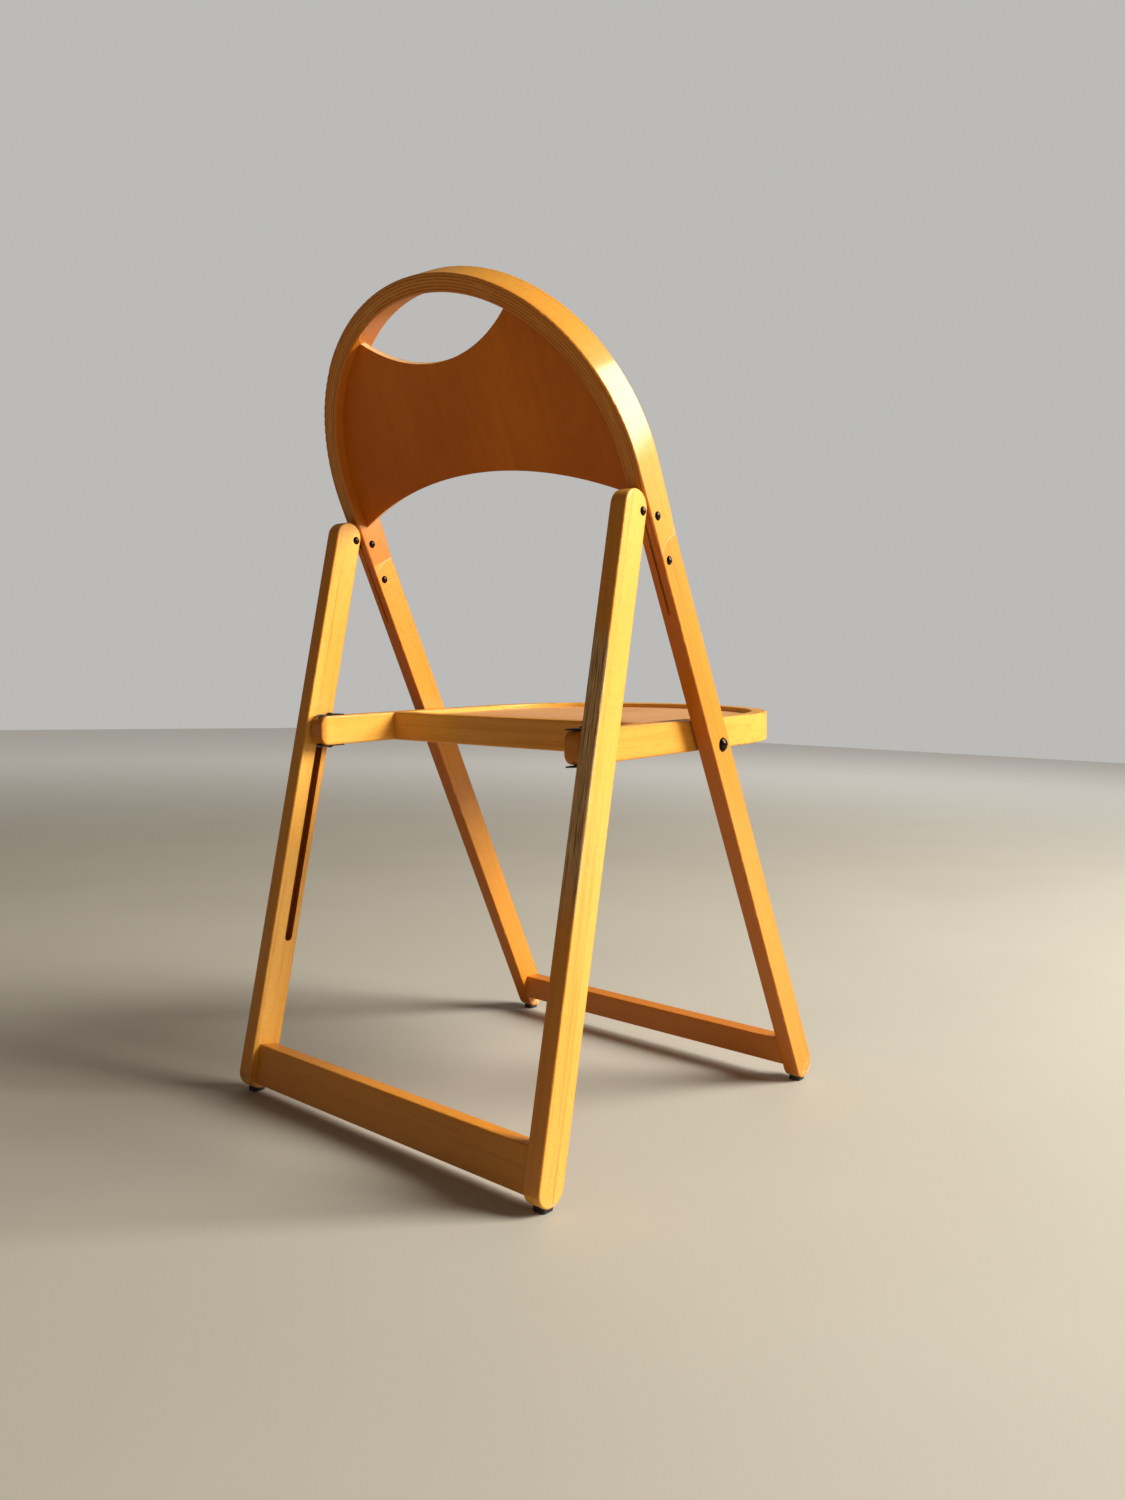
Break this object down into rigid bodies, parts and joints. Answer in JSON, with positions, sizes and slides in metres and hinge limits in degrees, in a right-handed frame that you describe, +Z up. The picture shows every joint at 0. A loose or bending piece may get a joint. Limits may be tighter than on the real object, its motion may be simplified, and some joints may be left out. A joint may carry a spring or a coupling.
{
  "type": "folding chair",
  "caption": "Folding wooden chair with a round bent back hoop, a plywood back with a hand hold, a half-round seat and two hinged pairs of straight legs.",
  "frame": {"origin": "on the floor under the middle of the open chair's box", "axes": "+X to the sitter's left, +Y to the back, +Z up"},
  "size_m": [0.4484, 0.5386, 0.8785],
  "materials": {
    "lacquered_beech": "honey-coloured clear lacquer over beech",
    "beech_plywood": "satin lacquer over thin beech plywood",
    "plain_beech": "bare beech",
    "bronzed_steel": "dark bronzed heads, worn brighter on the crown",
    "bright_steel": "plain rolled steel",
    "black_steel": "black japanned steel",
    "dark_glides": "hard dark plastic, scuffed"
  },
  "bodies": {
    "front_frame": {"back_hoop": "lacquered_beech", "back_panel": "beech_plywood", "front_leg_left": "lacquered_beech", "front_leg_right": "lacquered_beech", "front_stretcher": "lacquered_beech", "front_stretcher_dowels": "plain_beech", "hinge_plate_left": "bright_steel", "hinge_plate_right": "bright_steel", "hinge_plate_rivets": "bronzed_steel", "seat_bolt_left": "bronzed_steel", "seat_bolt_right": "bronzed_steel", "seat_bolt_washers": "bright_steel", "seat_bolt_nuts": "bronzed_steel", "front_foot_glides": "dark_glides", "front_glide_nails": "bright_steel"},
    "rear_frame": {"rear_leg_left": "lacquered_beech", "rear_leg_right": "lacquered_beech", "rear_stretcher": "lacquered_beech", "rear_stretcher_dowels": "plain_beech", "leg_pivot_rivets": "bronzed_steel", "rear_foot_glides": "dark_glides", "rear_glide_nails": "bright_steel"},
    "seat": {"seat_rim": "lacquered_beech", "seat_panel": "beech_plywood", "seat_cross_rail": "lacquered_beech", "cross_rail_dowels": "plain_beech", "seat_bracket_left": "black_steel", "seat_bracket_right": "black_steel", "bracket_rivets": "bronzed_steel", "slide_pin_left": "bright_steel", "slide_pin_right": "bright_steel"}
  },
  "joints": [
    {"name": "leg_fold", "type": "hinge", "parent": "front_frame", "child": "rear_frame", "pos_m": [0, 0.14405, 0.62477], "axis": [-1, 0, 0], "range_deg": [0, 37.09]},
    {"name": "seat_fold", "type": "hinge", "parent": "front_frame", "child": "seat", "pos_m": [0, -0.00959, 0.40001], "axis": [-1, 0, 0], "range_deg": [0, 107.5]}
  ],
  "couplings": [
    {"joint": "seat_fold", "follows": "leg_fold", "ratio": 2.8946}
  ]
}
